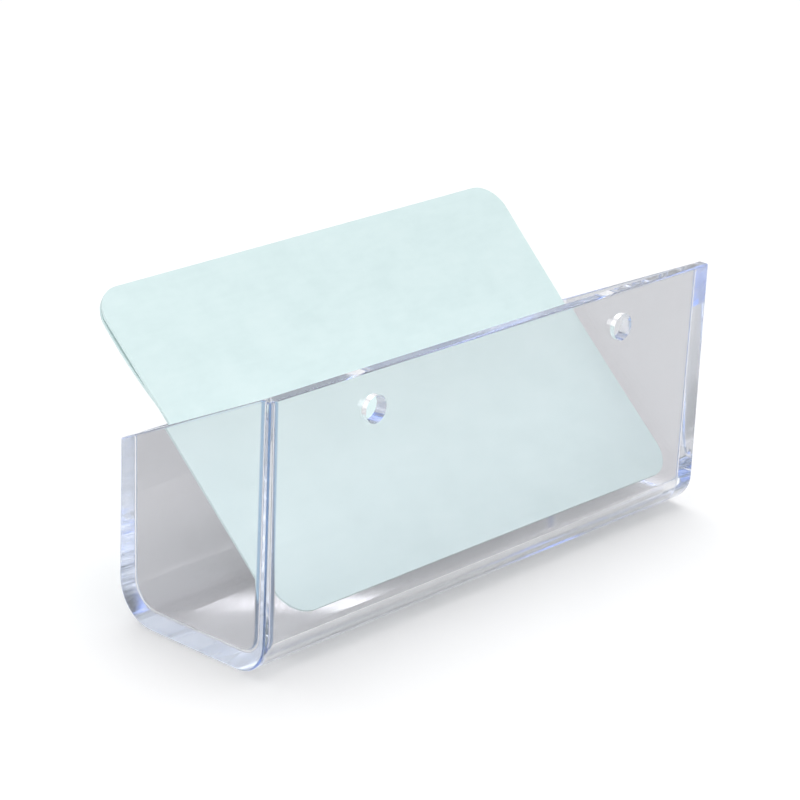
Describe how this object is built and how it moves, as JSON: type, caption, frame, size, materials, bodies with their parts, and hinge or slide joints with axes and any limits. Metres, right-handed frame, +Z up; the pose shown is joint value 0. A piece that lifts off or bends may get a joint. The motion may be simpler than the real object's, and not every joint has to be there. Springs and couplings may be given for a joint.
{
  "type": "business card holder",
  "caption": "Clear moulded card holder for desk or wall: tall back wall with screw holes, slanted rim, low front, rounded bottom bends, and rounded cards leaning over the front.",
  "frame": {"origin": "middle of the holder's footprint, on the desk", "axes": "+Z up, +X along the holder's length, -Y towards the low front wall, +Y towards the tall back wall with the screw holes"},
  "size_m": [0.0996, 0.0453, 0.045],
  "materials": {
    "clear_plastic": "clear polished moulding with a faint blue-grey cast in its edges",
    "card_stock": "smooth pale mint card with rounded corners"
  },
  "bodies": {
    "holder": {"holder": "clear_plastic"},
    "rear_card": {"rear_card": "card_stock"},
    "front_card": {"front_card": "card_stock"}
  },
  "joints": [
    {"name": "rear_card_lift", "type": "slide", "parent": "holder", "child": "rear_card", "axis": [0, -0.7454, 0.6666], "range_m": [0, 0.06]},
    {"name": "front_card_lift", "type": "slide", "parent": "holder", "child": "front_card", "axis": [0, -0.7454, 0.6666], "range_m": [0, 0.06]}
  ]
}
